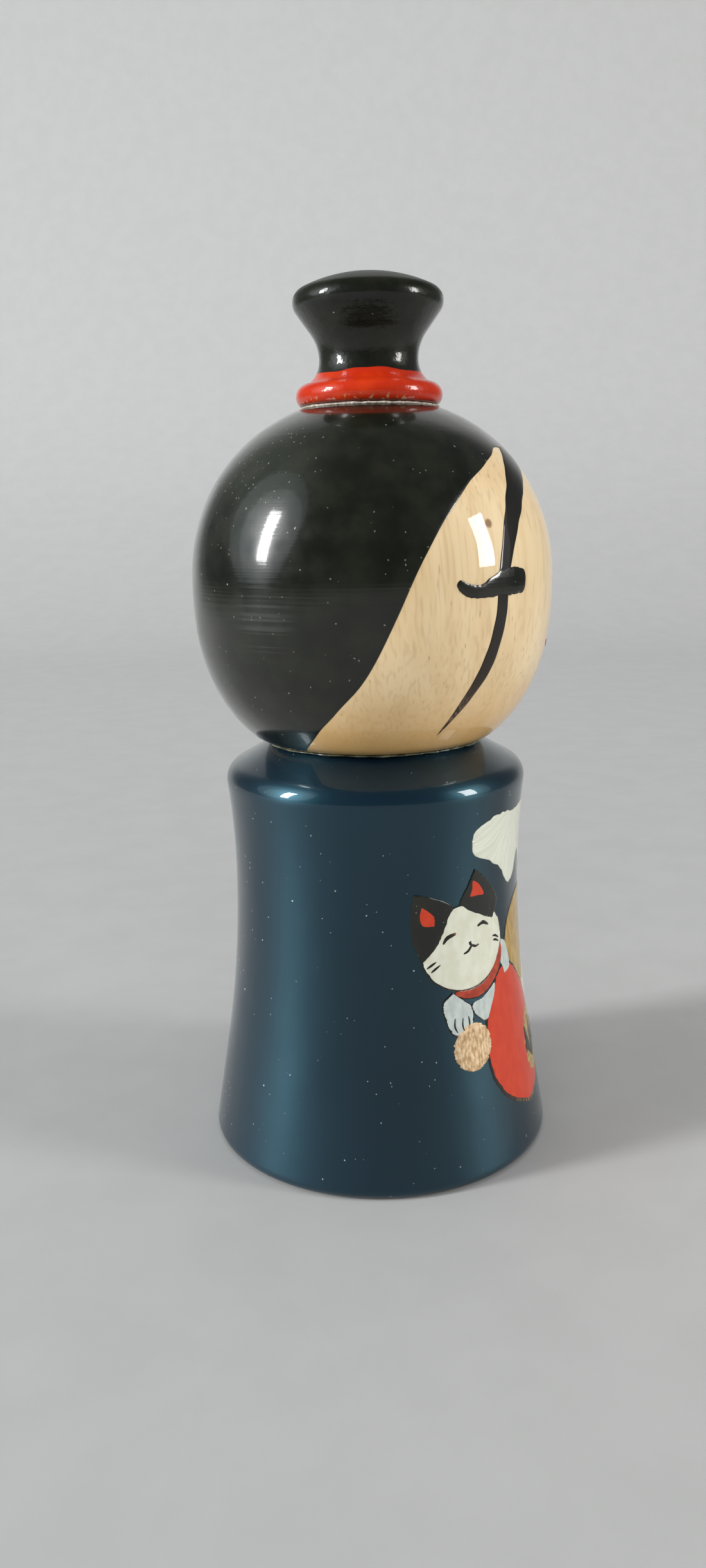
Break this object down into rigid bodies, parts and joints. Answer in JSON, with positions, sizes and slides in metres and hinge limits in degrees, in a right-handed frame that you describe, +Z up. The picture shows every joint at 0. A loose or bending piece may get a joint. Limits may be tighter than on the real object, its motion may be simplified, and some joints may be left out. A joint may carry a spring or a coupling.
{
  "type": "kokeshi doll",
  "caption": "Turned wooden doll with a waisted dark blue robe that carries a painted cat, a round head with black hair, and a flared topknot on a red ring.",
  "frame": {"origin": "on the doll's axis, in the plane that the foot stands on", "axes": "+Z up along the axis that every piece is turned about, and the doll faces -Y"},
  "size_m": [0.0494, 0.0494, 0.1201],
  "materials": {
    "navy_lacquer": "dark blue paint under a high gloss clear lacquer",
    "clear_lacquered_wood": "pale beech with fine ray flecks, clear gloss lacquer",
    "black_lacquer": "black paint under gloss lacquer, with a vermilion ring",
    "bare_wood": "bare beech dowel",
    "brush_paint": "brushed opaque paints under gloss lacquer: cream, red, black and ochre",
    "gold_paint": "copper gold glitter paint"
  },
  "bodies": {
    "robe": {"body": "navy_lacquer"},
    "head_and_topknot": {"head": "clear_lacquered_wood", "neck_peg": "bare_wood", "topknot": "black_lacquer", "topknot_peg": "bare_wood"}
  },
  "joints": [
    {"name": "head_turn", "type": "hinge", "parent": "robe", "child": "head_and_topknot", "pos_m": [0, 0, 0.0585], "axis": [0, 0, 1], "continuous": true}
  ]
}
